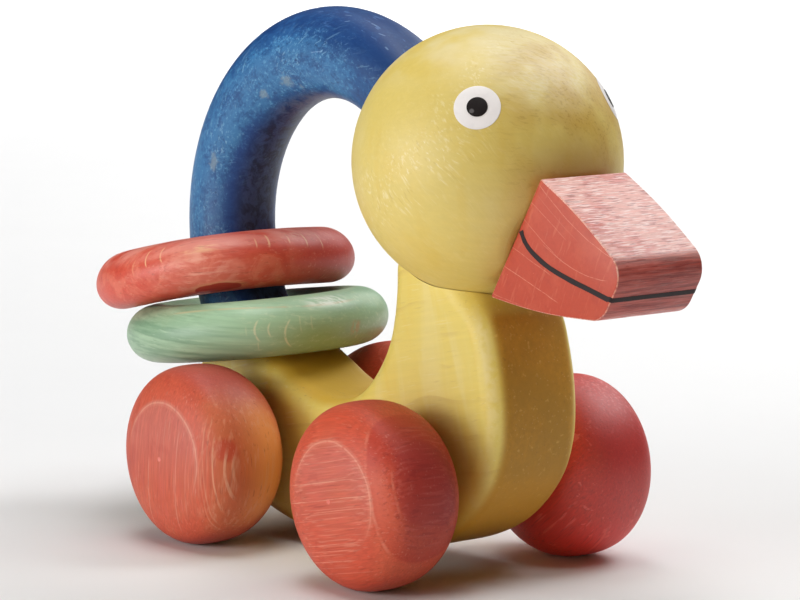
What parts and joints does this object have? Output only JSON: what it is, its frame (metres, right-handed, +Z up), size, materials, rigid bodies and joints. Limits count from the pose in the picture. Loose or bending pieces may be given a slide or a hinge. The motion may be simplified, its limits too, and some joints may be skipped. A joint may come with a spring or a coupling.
{
  "type": "duck grasping toy",
  "caption": "Wooden duck grasping toy on domed wheels, with a ball head, a block beak and an arched handle from tail to head that carries loose sliding rings",
  "frame": {"origin": "On the floor plane, under the middle of the toy's bounding box.", "axes": "+X forwards, the way the beak points; +Y to the duck's left, along both axles; +Z up. The toy stands on its wheels on z = 0."},
  "size_m": [0.1529, 0.0688, 0.1038],
  "materials": {
    "yellow": "translucent glaze, satin",
    "red": "translucent glaze, satin",
    "beak_red": "translucent glaze, satin",
    "blue": "translucent glaze, satin",
    "green": "translucent glaze, satin",
    "white_paint": "opaque paint, satin gloss",
    "black_paint": "opaque paint, satin gloss",
    "bare_wood": "untreated"
  },
  "bodies": {
    "duck": {"body_block": "yellow", "head_ball": "yellow", "beak": "beak_red", "mouth_line": "black_paint", "eye_white_left": "white_paint", "eye_white_right": "white_paint", "pupil_left": "black_paint", "pupil_right": "black_paint", "arch_handle": "blue", "neck_dowel": "bare_wood", "beak_dowel": "bare_wood", "tail_dowel": "bare_wood"},
    "front_wheelset": {"front_axle": "bare_wood", "wheel_front_left": "red", "wheel_front_right": "red"},
    "rear_wheelset": {"rear_axle": "bare_wood", "wheel_rear_left": "red", "wheel_rear_right": "red"},
    "lower_ring": {"ring_green": "green"},
    "upper_ring": {"ring_red": "red"}
  },
  "joints": [
    {"name": "front_axle_spin", "type": "hinge", "parent": "duck", "child": "front_wheelset", "pos_m": [0.027, 0, 0.01743], "axis": [0, 1, 0], "continuous": true},
    {"name": "rear_axle_spin", "type": "hinge", "parent": "duck", "child": "rear_wheelset", "pos_m": [-0.0254, 0, 0.01743], "axis": [0, 1, 0], "continuous": true},
    {"name": "green_ring_travel", "type": "hinge", "parent": "duck", "child": "lower_ring", "pos_m": [-0.0126, 0, 0.0596], "axis": [0, 1, 0], "range_deg": [0, 68]},
    {"name": "red_ring_travel", "type": "hinge", "parent": "lower_ring", "child": "upper_ring", "pos_m": [-0.0126, 0, 0.0596], "axis": [0, 1, 0], "range_deg": [0, 68]}
  ]
}
